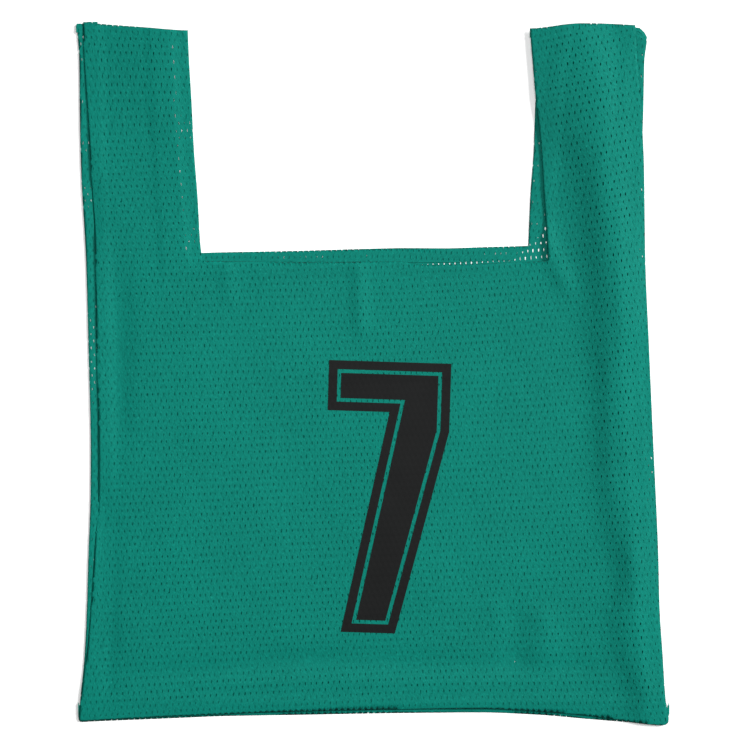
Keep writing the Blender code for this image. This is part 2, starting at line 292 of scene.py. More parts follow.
@dataclass(frozen=True)
class Cut:
    """Plan of one panel as it lies, with fractions u across and v up: 0 hem, 1 neckline, 2 shoulders."""

    ply: Ply

    def edge(self, rows: tuple, side: str, y: Array) -> Array:
        """One long edge's place across, at a height."""
        return curve(column(rows, "y"), column(rows, f"{self.ply.value}_{side}"), y)

    def left(self, y: Array) -> Array:
        """The outer left edge."""
        return self.edge(SIDES, "left", y)

    def right(self, y: Array) -> Array:
        """The outer right edge."""
        return self.edge(SIDES, "right", y)

    def strap_left(self, y: Array) -> Array:
        """The left strap's edge on the neck side."""
        return self.edge(STRAPS, "left", y)

    def strap_right(self, y: Array) -> Array:
        """The right strap's edge on the neck side."""
        return self.edge(STRAPS, "right", y)

    def line(self, rows: tuple, x: Array) -> Array:
        """Height of the hem, the neckline or the shoulders at a place across."""
        return curve(column(rows, "x"), column(rows, self.ply.value), x)

    def neck_corners(self) -> tuple[float, float]:
        """Fractions across of the two corners of the neck.

        Returns:
            The left corner's and the right one's.
        """
        found = []
        for side, row in (("left", NECKLINE[0]), ("right", NECKLINE[-1])):
            y = getattr(row, self.ply.value)
            left, right = self.left(y), self.right(y)
            found.append(float((self.edge(STRAPS, side, y) - left) / (right - left)))
        return found[0], found[1]

    def hem(self, u: Array) -> Array:
        """Height of the hem, rounded at its corners by y + r - sqrt(r^2 - short^2).

        Args:
            u: fractions across.

        Returns:
            Its heights.
        """
        low = SIDES[0].y
        start, width = self.left(low), self.right(low) - self.left(low)
        x = start + u * width
        y = self.line(HEM, x)
        ends = ((LEFT_CORNER_RADIUS, x - start), (RIGHT_CORNER_RADIUS, start + width - x))
        for radius, inside in ends:
            short = np.clip(radius - inside, 0, radius)
            y = y + radius - np.sqrt(radius * radius - short * short)
        return y

    def neckline(self, u: Array) -> Array:
        """Height of the neckline, level beyond its corners."""
        return self.line(NECKLINE, np.interp(u, self.neck_corners(), (NECKLINE[0].x, NECKLINE[-1].x)))

    def shoulders(self, u: Array) -> Array:
        """Height of the shoulders above a fraction across."""
        return self.line(SHOULDERS, self.strap_place(u, np.full_like(u, SHOULDERS[0].front)))

    def strap_place(self, u: Array, y: Array) -> Array:
        """Place across above the neckline, in three straight runs between the straps' four edges.

        Args:
            u: fraction across.
            y: height.

        Returns:
            The place across, carried on straight beyond the outer edges.
        """
        low, high = self.neck_corners()
        left, right = self.left(y), self.right(y)
        inner_left, inner_right = self.strap_left(y), self.strap_right(y)
        first = left + u / low * (inner_left - left)
        middle = inner_left + (u - low) / (high - low) * (inner_right - inner_left)
        last = right - (1 - u) / (1 - high) * (right - inner_right)
        return np.where(u <= low, first, np.where(u < high, middle, last))

    def plan(self, u: Array, v: Array) -> tuple[Array, Array]:
        """Place of a point from its fractions.

        Args:
            u: fraction across.
            v: fraction up.

        Returns:
            Its x and y.
        """
        hem, neck = self.hem(u), self.neckline(u)
        y = np.where(v <= 1, hem + v * (neck - hem), neck + (v - 1) * (self.shoulders(u) - neck))
        body = self.left(y) + u * (self.right(y) - self.left(y))
        return np.where(v <= 1, body, self.strap_place(u, y)), y

    def locate(self, x: Array, y: Array) -> tuple[Array, Array]:
        """Fractions of a point: plan() run backwards.

        Args:
            x: place across.
            y: height.

        Returns:
            Its u and v.
        """
        low, high = self.neck_corners()
        left, right = self.left(y), self.right(y)
        inner_left, inner_right = self.strap_left(y), self.strap_right(y)
        u_body = (x - left) / (right - left)
        hem = self.hem(u_body)
        v_body = (y - hem) / (self.neckline(u_body) - hem)
        first = low * (x - left) / (inner_left - left)
        middle = low + (high - low) * (x - inner_left) / (inner_right - inner_left)
        last = 1 - (1 - high) * (right - x) / (right - inner_right)
        u_strap = np.where(x <= inner_left, first, np.where(x < inner_right, middle, last))
        neck = self.neckline(u_strap)
        v_strap = 1 + (y - neck) / (self.shoulders(u_strap) - neck)
        body = v_body <= 1
        return np.where(body, u_body, u_strap), np.where(body, v_body, v_strap)


FRONT = Cut(Ply.FRONT)
BACK = Cut(Ply.BACK)


@dataclass(frozen=True)
class Lie:
    """How high the cloth lies: the plies on each other, the soft folds and the waves between them."""

    back_ply: float = 0.35
    back_turned: float = 1.05
    back_curl: float = 0.9
    middle: float = 1.6
    over_hem: float = 2.35
    off_back: float = 1.2
    hem_width: float = 15.0
    slope: float = 11.0
    wave_height: float = 0.45
    seed: int = 11

    def hem_cover(self, x: Array, y: Array) -> Array:
        """How far the front rides up on the back's turned edges, from 0 to 1.

        1 - (1 - a)(1 - b)..., where each of a, b, ... is 1 over one edge and eases away from it.

        Args:
            x: places across.
            y: heights.

        Returns:
            The cover at each point.
        """
        margin, half = 3.0, self.hem_width / 2

        def near(inside: Array) -> Array:
            """Full over a turned edge and a margin, then falling away.

            Args:
                inside: distance from the edge.

            Returns:
                The cover of that one edge.
            """
            return 1 - ease((inside - self.hem_width - margin) / self.slope)

        over_neck = (near(np.abs(BACK.line(NECKLINE, x) - half - y) + half)
                     * near(BACK.strap_left(y) - x) * near(x - BACK.strap_right(y)))
        above = ease((y - NECKLINE[0].front) / self.hem_width)
        over_straps = (1 - near(np.abs(x - BACK.strap_right(y))) * above) * (
            1 - near(np.abs(BACK.strap_left(y) - x)) * above)
        return 1 - ((1 - near(x - BACK.left(y))) * (1 - near(BACK.right(y) - x))
                    * (1 - near(y - BACK.line(HEM, x))) * (1 - over_neck) * over_straps)

    def past_back(self, x: Array, y: Array) -> Array:
        """How far the front has come down where it runs past the back's edges, from 0 to 1.

        Args:
            x: places across.
            y: heights.

        Returns:
            The share at each point.
        """
        side = ease((x - BACK.right(y) + 3.0) / 10.0)
        above = ease((y - NECKLINE[0].front + 4.0) / 10.0)
        strap = ease((x - BACK.strap_left(y) + 2.0) / 12.0) * above * (x < 0)
        return 1 - (1 - side) * (1 - strap)

    def roll(self, x: Array, y: Array) -> Array:
        """The long roll down the right side: h exp(-((x - crest) / flank)^2).

        Args:
            x: places across.
            y: heights.

        Returns:
            What it adds to the height.
        """
        places = column(RIGHT_ROLL, "y")
        crest = curve(places, column(RIGHT_ROLL, "crest"), y)
        height = curve(places, column(RIGHT_ROLL, "height"), y)
        flank = np.where(x < crest, curve(places, column(RIGHT_ROLL, "left_flank"), y),
                         curve(places, column(RIGHT_ROLL, "right_flank"), y))
        return height * np.exp(-((x - crest) / flank) ** 2)

    def ridge(self, fold: Fold, x: Array, y: Array) -> Array:
        """One short fold: h exp(-(aside / w)^2 - past^2), fading out at both of its ends.

        Args:
            fold: the fold.
            x: places across.
            y: heights.

        Returns:
            What it adds to the height.
        """
        along_x, along_y = fold.x_end - fold.x_start, fold.y_end - fold.y_start
        length = np.hypot(along_x, along_y)
        along = ((x - fold.x_start) * along_x + (y - fold.y_start) * along_y) / length
        aside = ((x - fold.x_start) * along_y - (y - fold.y_start) * along_x) / length
        past = np.maximum(0, np.abs(along - length / 2) - length / 3)
        return fold.height * np.exp(-(aside / fold.width) ** 2 - (past / (length / 5)) ** 2)

    def waves(self, x: Array, y: Array) -> Array:
        """Faint unevenness of cloth that was folded and handled: a sum of slow sines.

        h (1 + sum a_k sin(2 pi (x cos t_k + y sin t_k) / l_k + p_k)), with seeded l, t and p.

        Args:
            x: places across.
            y: heights.

        Returns:
            What it adds to the height.
        """
        source = np.random.default_rng(self.seed)
        total = np.zeros_like(x)
        for length in (150.0, 120.0, 96.0, 80.0, 64.0, 52.0, 42.0, 34.0):
            turn, phase = source.uniform(0, math.pi), source.uniform(0, math.tau)
            place = x * math.cos(turn) + y * math.sin(turn)
            total = total + (length / 150.0) * np.sin(math.tau * place / length + phase)
        return self.wave_height * (1 + total / 3.2)

    def front(self, x: Array, y: Array) -> Array:
        """Height of the front's ply, folds and waves included.

        Args:
            x: places across.
            y: heights.

        Returns:
            The heights, in millimetres.
        """
        on_back = self.middle + (self.over_hem - self.middle) * self.hem_cover(x, y)
        height = on_back + (self.off_back - on_back) * self.past_back(x, y)
        height = height + self.roll(x, y) + self.waves(x, y)
        for fold in FOLDS:
            height = height + self.ridge(fold, x, y)
        return height

    def back(self, x: Array, y: Array) -> Array:
        """Height of the back's ply, flat but for the left edge, which curls up a little."""
        return self.back_ply + self.back_curl * (1 - ease((x - BACK.left(y)) / 13.0))


@dataclass(frozen=True)
class Grain:
    """How the knit's rows and columns run over the bib as it lies."""

    reach: float = 400.0
    step: float = 10.0

    def bends(self) -> tuple[Array, Array, Array]:
        """Shifts of the rows and columns, gathered from their slopes.

        rise(s, t) is the integral of tan(row slope) ds from 0, and lean(s, t) that of tan(column
        slope) dt from 0.

        Returns:
            The places of the net, and the two shifts at its points.
        """
        places = np.arange(-self.reach, self.reach + self.step / 2, self.step)
        heights = column(GRAIN, "y")
        s, t = np.meshgrid(places, places)
        shifts = []
        for name in ("rises", "leans"):
            table = np.array([getattr(row, name) for row in GRAIN])
            at_rows = np.stack([np.interp(places, GRAIN_PLACES, row) for row in table])
            index = np.clip(np.searchsorted(heights, places) - 1, 0, len(heights) - 2)
            part = np.clip((places - heights[index]) / (heights[index + 1] - heights[index]), 0, 1)
            angle = at_rows[index] * (1 - part[:, None]) + at_rows[index + 1] * part[:, None]
            slope = np.tan(np.radians(angle))
            axis = 1 if name == "rises" else 0
            whole = np.cumsum(slope, axis=axis) * self.step
            middle = np.take(whole, [len(places) // 2], axis=axis)
            shifts.append(whole - middle)
        return places, shifts[0], -shifts[1]

    def plan(self, s: Array, t: Array) -> tuple[Array, Array]:
        """Where a point of the knit lies: x = s + lean(s, t), y = t + rise(s, t).

        Args:
            s: place along the rows.
            t: place along the columns.

        Returns:
            Its x and y.
        """
        places, rise, lean = self.bends()

        def read(table: Array) -> Array:
            """Straight-line reading of a table on the net.

            Args:
                table: one shift at the net's points.

            Returns:
                That shift at each s and t.
            """
            i = np.clip((s + self.reach) / self.step, 0, len(places) - 1.001)
            j = np.clip((t + self.reach) / self.step, 0, len(places) - 1.001)
            i0, j0 = i.astype(int), j.astype(int)
            fi, fj = i - i0, j - j0
            lower = table[j0, i0] * (1 - fi) + table[j0, i0 + 1] * fi
            upper = table[j0 + 1, i0] * (1 - fi) + table[j0 + 1, i0 + 1] * fi
            return lower * (1 - fj) + upper * fj

        return s + read(lean), t + read(rise)


@dataclass(frozen=True)
class MeshKnit:
    """The knit's net of yarn bundles around long holes, each row half a pitch along from the next."""

    pitch: float = 5.5
    row: float = 6.65
    hole_width: float = 0.85
    hole_height: float = 3.4
    relief: float = 0.16
    unevenness: float = 0.22
    phase: int = 0
    seed: int = 5
    grain: Grain = field(default_factory=Grain)

    def lattice(self, cut: Cut, reach: float) -> tuple[Array, Array, Array]:
        """Cells of a panel and its allowances, before they are cut.

        Each cell is a brick, pitch by row, with six points on its border and six around its hole,
        which is a slit with a blunt top and a long tail. Six four-sided faces join them.

        Args:
            cut: the panel.
            reach: how far past the panel's edges the cells go.

        Returns:
            Points (u, v, relief), their knit coordinates in pitches and rows, and the faces.
        """
        half = self.pitch / 2
        rows, halves = int(NET_LENGTH / self.row), 2 * int(NET_WIDTH / self.pitch)
        j, i = np.meshgrid(np.arange(rows + 1), np.arange(halves + 1), indexing="ij")
        border_s = (i - halves / 2) * half
        border_t = (j - rows / 2) * self.row
        row, k = np.meshgrid(np.arange(rows), np.arange(halves // 2 - 1), indexing="ij")
        first = 2 * k + (row + self.phase) % 2
        corner = row * (halves + 1) + first
        above = corner + halves + 1
        border = np.stack([corner, corner + 1, corner + 2, above + 2, above + 1, above], -1).reshape(-1, 6)
        middle_s = ((first + 1 - halves / 2) * half).reshape(-1, 1)
        middle_t = ((row + 0.5 - rows / 2) * self.row).reshape(-1, 1)
        source = np.random.default_rng(self.seed + self.phase)
        count, holes = (rows + 1) * (halves + 1), border.shape[0]
        vary = 1 + self.unevenness * source.standard_normal((holes, 4)).clip(-2, 2)
        wide = self.hole_width / 2 * vary[:, :1]
        tall = self.hole_height / 2 * (0.4 + 0.6 * vary[:, 1:2])
        skew = (vary[:, 2:3] - 1) * 0.6
        around_t = tall * np.array([-0.25, -1.0, -0.25, 0.6, 1.0, 0.6])
        around_s = wide * np.array([-1, 0, 1, 1, 0, -1]) + skew * around_t / self.hole_height
        around_s = around_s + (vary[:, 3:] - 1) * 0.5
        hole = count + np.arange(holes)[:, None] * 6 + np.arange(6)
        s = np.concatenate([border_s.ravel(), (middle_s + around_s).ravel()])
        t = np.concatenate([border_t.ravel(), (middle_t + around_t).ravel()])
        rims = self.relief * source.uniform(-0.6, 1.6, (holes, 6))
        relief = np.concatenate([self.relief * source.uniform(0.3, 1.0, count), rims.ravel()])

        x, y = self.grain.plan(s, t)
        u, v = cut.locate(x, y)
        centre_u, centre_v = u[hole].mean(1), v[hole].mean(1)
        wide_u, tall_v = reach / NARROWEST, reach / SHORTEST
        low, high = cut.neck_corners()
        across = (centre_u > -wide_u) & (centre_u < 1 + wide_u)
        along = (centre_v > -tall_v) & (centre_v < 2 + tall_v)
        notch = (centre_v > 1 + tall_v) & (centre_u > low + wide_u) & (centre_u < high - wide_u)
        inside = across & along & ~notch
        border, hole = border[inside], hole[inside]
        following = np.roll(np.arange(6), -1)
        faces = np.stack([border, border[:, following], hole[:, following], hole], -1).reshape(-1, 4)
        used, faces = np.unique(faces, return_inverse=True)
        points = np.stack([u, v, relief], -1)[used]
        knit = np.stack([s / self.pitch, t / self.row], -1)[used]
        return points, knit, faces.reshape(-1, 4)


@dataclass
class Panel:
    """One panel of the bib: its face, and the allowances turned in along every edge."""

    cut: Cut
    lie: Lie
    name: str
    allowance: float = 15.0
    shoulder_allowance: float = 9.0
    ply_gap: float = 0.6
    corner_gap: float = 0.3
    fold_reach: float = 1.6
    knit: MeshKnit = field(default_factory=MeshKnit)

    def pieces_of_cut(self) -> tuple[Array, Array, Array, Array]:
        """Cuts the lattice along the panel's folds and off at the ends of its allowances.

        Returns:
            Points (u, v, relief), knit coordinates, triangles, and each triangle's Region number.
        """
        points, knit, faces = self.knit.lattice(self.cut, self.allowance + 6)
        draft = bpy.data.meshes.new("draft")
        draft.from_pydata(points.tolist(), [], faces.tolist())
        layer = draft.attributes.new("knit", "FLOAT_VECTOR", "POINT")
        layer.data.foreach_set("vector", np.pad(knit, ((0, 0), (0, 1))).ravel())
        net = bmesh.new()
        net.from_mesh(draft)

        low, high = self.cut.neck_corners()
        wide = float(self.cut.right(np.array(0.0)) - self.cut.left(np.array(0.0)))
        body = NECKLINE[0].front - HEM[4].front
        strap = SHOULDERS[2].front - NECKLINE[0].front
        a, below, over = self.allowance / wide, self.allowance / body, self.allowance / strap
        top = self.shoulder_allowance / strap
        neck_wide = (STRAPS[0].front_right - STRAPS[0].front_left) / (high - low)
        inner = self.allowance / neck_wide

        def slice_net(place: tuple, normal: tuple, clear: bool = False, keep: Any = None) -> None:
            """Cuts along a line in (u, v), over all faces or those that keep() picks.

            Args:
                place: a point of the line.
                normal: its direction across.
                clear: takes away what lies beyond it.
                keep: picks faces by their middle.
            """
            chosen = net.faces[:] if keep is None else [f for f in net.faces if keep(f.calc_center_median())]
            edges = dict.fromkeys(edge for face in chosen for edge in face.edges)
            verts = dict.fromkeys(vert for face in chosen for vert in face.verts)
            bmesh.ops.bisect_plane(net, geom=[*verts, *edges, *chosen], dist=1e-7, plane_co=(*place, 0),
                                   plane_no=(*normal, 0), clear_outer=clear)

        def in_neck(c: Vector) -> bool:
            """A face between the straps, allowances included."""
            return c.y > 1 - 0.05 and low - 0.03 < c.x < high + 0.03

        slice_net((-a, 0), (-1, 0), clear=True)
        slice_net((1 + a, 0), (1, 0), clear=True)
        slice_net((0, -below), (0, -1), clear=True)
        slice_net((0, 2 + top), (0, 1), clear=True)
        for place, normal in (((0, 0), (1, 0)), ((1, 0), (1, 0)), ((0, 0), (0, 1)), ((0, 2), (0, 1))):
            slice_net(place, normal)
        slice_net((0, 1), (0, 1), keep=in_neck)
        for corner, away in ((low, 1), (high, -1)):
            slice_net((corner, 0), (1, 0), keep=lambda c: c.y > 1)
            slice_net((corner + away * inner, 0), (1, 0), keep=lambda c: c.y > 1 and low < c.x < high)
            slice_net((corner, 1), (over, -away * inner), keep=lambda c: c.y > 1 and low < c.x < high)
        slice_net((0, 1 + over), (0, 1), keep=lambda c: c.y > 1 and low < c.x < high)
        bmesh.ops.triangulate(net, faces=net.faces[:])
        net.to_mesh(draft)
        net.free()

        count = len(draft.vertices)
        flat = np.empty(count * 3)
        draft.vertices.foreach_get("co", flat)
        coordinates = np.empty(count * 3)
        draft.attributes["knit"].data.foreach_get("vector", coordinates)
        corners = np.empty(len(draft.loops), dtype=int)
        draft.loops.foreach_get("vertex_index", corners)
        bpy.data.meshes.remove(draft)
        points, triangles = flat.reshape(-1, 3), corners.reshape(-1, 3)

        u, v = points[triangles].mean(1)[:, :2].T
        from_left, from_right, rise = (u - low) / inner, (high - u) / inner, (v - 1) / over
        notch = (v > 1) & (u > low) & (u < high)
        region = np.select(
            [notch & (from_left < 1) & (from_left < rise),
             notch & (from_right < 1) & (from_right < rise), notch, u < 0, u > 1, v < 0, v > 2],
            [Region.LEFT_STRAP.value, Region.RIGHT_STRAP.value, Region.NECK.value, Region.LEFT.value,
             Region.RIGHT.value, Region.HEM.value, Region.SHOULDER.value], Region.FACE.value)
        trimmed = ((u < 0) | (u > 1)) & ((v < 0) | (v > 2)) | (notch & (v > 2))
        trimmed |= (region == Region.NECK.value) & (rise > 1)
        return points, coordinates.reshape(-1, 3)[:, :2], triangles[~trimmed], region[~trimmed]

    def turned_in(self, u: Array, x: Array, y: Array, region: Array) -> tuple[Array, Array]:
        """Folds the allowances over: each point is mirrored in its own edge.

        Args:
            u: fractions across.
            x: places across, before folding.
            y: heights, before folding.
            region: Region numbers.

        Returns:
            x and y after folding.
        """
        cut = self.cut
        x, y = x.copy(), y.copy()
        sides = ((Region.LEFT, cut.left), (Region.RIGHT, cut.right),
                 (Region.LEFT_STRAP, cut.strap_left), (Region.RIGHT_STRAP, cut.strap_right))
        for part, edge in sides:
            here = region == part.value
            x[here] = 2 * edge(y[here]) - x[here]
        ends = ((Region.HEM, cut.hem), (Region.NECK, cut.neckline), (Region.SHOULDER, cut.shoulders))
        for part, line in ends:
            here = region == part.value
            y[here] = 2 * line(u[here]) - y[here]
        return x, y

    def from_edge(self, u: Array, x: Array, y: Array, region: Array) -> Array:
        """Distance of each point from the nearest folded edge of its own part of the panel.

        Args:
            u: fractions across.
            x: places across, folded.
            y: heights, folded.
            region: Region numbers.

        Returns:
            The distances, in millimetres.
        """
        cut = self.cut
        low, high = cut.neck_corners()
        sides = np.minimum(x - cut.left(y), cut.right(y) - x)
        ends = y - cut.hem(u)
        above = y > cut.neckline(u) + 1e-4
        over = np.minimum(cut.shoulders(u) - y, np.where(u < (low + high) / 2, cut.strap_left(y) - x,
                                                         x - cut.strap_right(y)))
        neck = np.where((u > low) & (u < high), cut.neckline(u) - y, 99.0)
        face = np.minimum(np.minimum(sides, ends), np.where(above, over, neck))
        own = {Region.LEFT: sides, Region.RIGHT: sides, Region.HEM: ends, Region.NECK: cut.neckline(u) - y,
               Region.SHOULDER: cut.shoulders(u) - y, Region.LEFT_STRAP: cut.strap_left(y) - x,
               Region.RIGHT_STRAP: x - cut.strap_right(y)}
        for part, distance in own.items():
            face = np.where(region == part.value, distance, face)
        return np.maximum(face, 0)

    def height(self, u: Array, x: Array, y: Array, region: Array) -> Array:
        """Height of each point: its ply, rounded into the ply turned under or over it.

        Near a fold both plies meet half way: the gap closes as 1 - sqrt(1 - (1 - d / r)^2).

        Args:
            u: fractions across.
            x: places across, folded.
            y: heights, folded.
            region: Region numbers.

        Returns:
            The heights, in millimetres.
        """
        cut = self.cut
        near = 1 - np.clip(self.from_edge(u, x, y, region) / self.fold_reach, 0, 1)
        closing = (1 - np.sqrt(1 - near * near)) * self.ply_gap / 2
        across = np.isin(region, [Region.HEM.value, Region.SHOULDER.value, Region.NECK.value])
        side = np.minimum(x - cut.left(y), cut.right(y) - x)
        corner = self.corner_gap * (1 - ease((side - self.allowance + 2) / 6)) * across * (near <= 0)
        turned = self.ply_gap - closing + corner
        if cut.ply is Ply.FRONT:
            base = self.lie.front(x, y)
            return np.where(region == Region.FACE.value, base - closing, base - turned)
        base = self.lie.back(x, y)
        return np.where(region == Region.FACE.value, base + closing, base + turned)

    def build(self) -> tuple[bpy.types.Object, float]:
        """Makes the panel's piece.

        Returns:
            The piece, and the area of its whole cut in square metres.
        """
        points, knit, triangles, region = self.pieces_of_cut()
        on_face = np.zeros(len(points), dtype=bool)
        on_face[triangles[region == Region.FACE.value]] = True
        code = np.where(on_face[triangles], Region.FACE.value, region[:, None])
        pairs, corners = np.unique(triangles * 8 + code, return_inverse=True)
        corners = corners.reshape(-1, 3)
        index, part = pairs // 8, pairs % 8
        u, v, relief = points[index].T
        x, y = self.cut.plan(u, v)
        area = self.area(x, y, corners)
        x, y = self.turned_in(u, x, y, part)
        z = self.height(u, x, y, part)
        z = z + relief * (1 if self.cut.ply is Ply.FRONT else -1)
        if self.cut.ply is Ply.BACK:
            corners = corners[:, ::-1]
        place = np.stack([x - CENTRE_X, y - CENTRE_Y, z], -1) * MM
        mesh = bpy.data.meshes.new(self.name)
        mesh.from_pydata(place.tolist(), [], corners.tolist())
        layer = mesh.uv_layers.new(name="knit")
        layer.data.foreach_set("uv", knit[index][corners.ravel()].astype(np.float32).ravel())
        mesh.shade_smooth()
        piece = bpy.data.objects.new(self.name, mesh)
        bpy.context.scene.collection.objects.link(piece)
        return piece, area

    def area(self, x: Array, y: Array, corners: Array) -> float:
        """Area of the cut before its edges are turned, its holes filled in, in square metres.

        Args:
            x: places across, unfolded.
            y: heights, unfolded.
            corners: the triangles.

        Returns:
            The area.
        """
        ax, ay = x[corners], y[corners]
        cross = (ax[:, 1] - ax[:, 0]) * (ay[:, 2] - ay[:, 0]) - (ax[:, 2] - ax[:, 0]) * (ay[:, 1] - ay[:, 0])
        cell = self.knit.pitch * self.knit.row
        hole = self.knit.hole_width * self.knit.hole_height * 0.71
        return float(np.abs(cross).sum() / 2 * MM * MM * cell / (cell - hole))


@dataclass(frozen=True)
class Numeral:
    """The printed block numeral seven: an outer band, a thin line of bare mesh, and a solid middle."""

    left: float = -47.6
    bottom: float = -258.6
    width: float = 122.0
    tall: float = 271.0
    bar: float = 50.0
    stem: float = 54.0
    foot: float = 20.0
    band: float = 8.7
    bare: float = 3.8
    tilt: float = -1.8
    film: float = 0.22
    cell: float = 2.6

    def outline(self) -> Array:
        """Corners of the numeral, anticlockwise, from the foot's left end.

        Returns:
            The corners, from its lower left.
        """
        top, inner = self.tall, self.tall - self.bar
        right = self.width
        return np.array([
            (self.foot, 0.0), (self.foot + self.stem, 0.0), (right, inner - 18.0), (right, top), (0.0, top),
            (0.0, inner), (right - self.stem - 6.0, inner),
        ])

    def inset(self, corners: Array, by: float) -> Array:
        """Moves every side inwards: each corner goes to where its two moved sides cross.

        Args:
            corners: an outline, anticlockwise.
            by: how far.

        Returns:
            The corners of the smaller outline.
        """
        ahead = np.roll(corners, -1, 0) - corners
        ahead /= np.linalg.norm(ahead, axis=1, keepdims=True)
        inward = np.stack([-ahead[:, 1], ahead[:, 0]], -1)
        before, back = np.roll(inward, 1, 0), np.roll(ahead, 1, 0)
        cosine = (inward * before).sum(1, keepdims=True)
        return corners + by * (inward + before) / (1 + cosine)

    def patches(self) -> list[Array]:
        """Four-sided areas of the print, as their corners anticlockwise.

        Returns:
            Seven of the band and three of the middle.
        """
        outer = self.outline()
        edge = self.inset(outer, self.band)
        core = self.inset(outer, self.band + self.bare)
        following = np.roll(np.arange(len(outer)), -1)
        bands = [np.array([outer[i], outer[j], edge[j], edge[i]]) for i, j in enumerate(following)]
        foot_left, foot_right, right_low, right_high, left_high, left_low, elbow = core
        bar = np.array([left_low, elbow, (elbow[0], left_high[1]), left_high])
        joint = np.array([elbow, right_low, right_high, (elbow[0], right_high[1])])
        stem = np.array([foot_left, foot_right, right_low, elbow])
        return [*bands, bar, joint, stem]

    def build(self, panel: Panel) -> bpy.types.Object:
        """Lays the print on the front: each area is a net (1-a)(1-b) A + a(1-b) B + ab C + (1-a)b D.

        Args:
            panel: the front panel, whose height and knit the print follows.

        Returns:
            The printed film as one piece.
        """
        points, faces, knit = [], [], []
        turn = math.radians(self.tilt)
        middle = np.array([self.width, self.tall]) / 2
        grain = panel.knit.grain
        total = 0
        for a, b, c, d in self.patches():
            across = max(2, int(max(np.hypot(*(b - a)), np.hypot(*(c - d))) / self.cell))
            along = max(2, int(max(np.hypot(*(d - a)), np.hypot(*(c - b))) / self.cell))
            p, q = np.meshgrid(np.linspace(0, 1, across + 1), np.linspace(0, 1, along + 1))
            p, q = p[..., None], q[..., None]
            local = (1 - p) * (1 - q) * a + p * (1 - q) * b + p * q * c + (1 - p) * q * d - middle
            x = self.left + middle[0] + local[..., 0] * math.cos(turn) - local[..., 1] * math.sin(turn)
            y = self.bottom + middle[1] + local[..., 0] * math.sin(turn) + local[..., 1] * math.cos(turn)
            z = panel.lie.front(x, y) + panel.knit.relief + self.film
            back_x, back_y = grain.plan(x, y)
            s, t = x - (back_x - x), y - (back_y - y)
            number = total + np.arange(x.size).reshape(x.shape)
            points.append(np.stack([x - CENTRE_X, y - CENTRE_Y, z], -1).reshape(-1, 3) * MM)
            knit.append(np.stack([s / panel.knit.pitch, t / panel.knit.row], -1).reshape(-1, 2))
            faces.append(np.stack([number[:-1, :-1], number[:-1, 1:], number[1:, 1:], number[1:, :-1]],
                                  -1).reshape(-1, 4))
            total += x.size
        place, corners, knit = np.concatenate(points), np.concatenate(faces), np.concatenate(knit)
        mesh = bpy.data.meshes.new("printed_number")
        mesh.from_pydata(place.tolist(), [], corners.tolist())
        layer = mesh.uv_layers.new(name="knit")
        layer.data.foreach_set("uv", knit[corners.ravel()].astype(np.float32).ravel())
        mesh.shade_smooth()
        piece = bpy.data.objects.new("printed_number", mesh)
        bpy.context.scene.collection.objects.link(piece)
        return piece


class Wire:
    """A socket that takes part in arithmetic: each operator adds a Math node."""

    def __init__(self, bench: "Bench", socket: bpy.types.NodeSocket) -> None:
        self.bench = bench
        self.socket = socket

    def math(self, operation: str, *values: Any) -> "Wire":
        """One Math node on this wire and others.

        Args:
            operation: what it does.
            values: its other inputs.

        Returns:
            Its result.
        """
        return self.bench.node("ShaderNodeMath", {"operation": operation}, dict(enumerate((self, *values))))

    def __add__(self, other: Any) -> "Wire":
        """Sum."""
        return self.math("ADD", other)

    __radd__ = __add__

    def __mul__(self, other: Any) -> "Wire":
        """Product."""
        return self.math("MULTIPLY", other)

    __rmul__ = __mul__

    def __sub__(self, other: Any) -> "Wire":
        """Difference."""
        return self.math("SUBTRACT", other)

    def __rsub__(self, other: Any) -> "Wire":
        """Difference the other way round: 1 - wire is wire * -1 + 1."""
        return self.math("MULTIPLY_ADD", -1.0, other)

    def sine(self) -> "Wire":
        """Sine of a number of radians."""
        return self.math("SINE")

    def saw(self) -> "Wire":
        """Triangle wave of period 1, from 0 to 1 and back."""
        return self.math("PINGPONG", 0.5) * 2.0


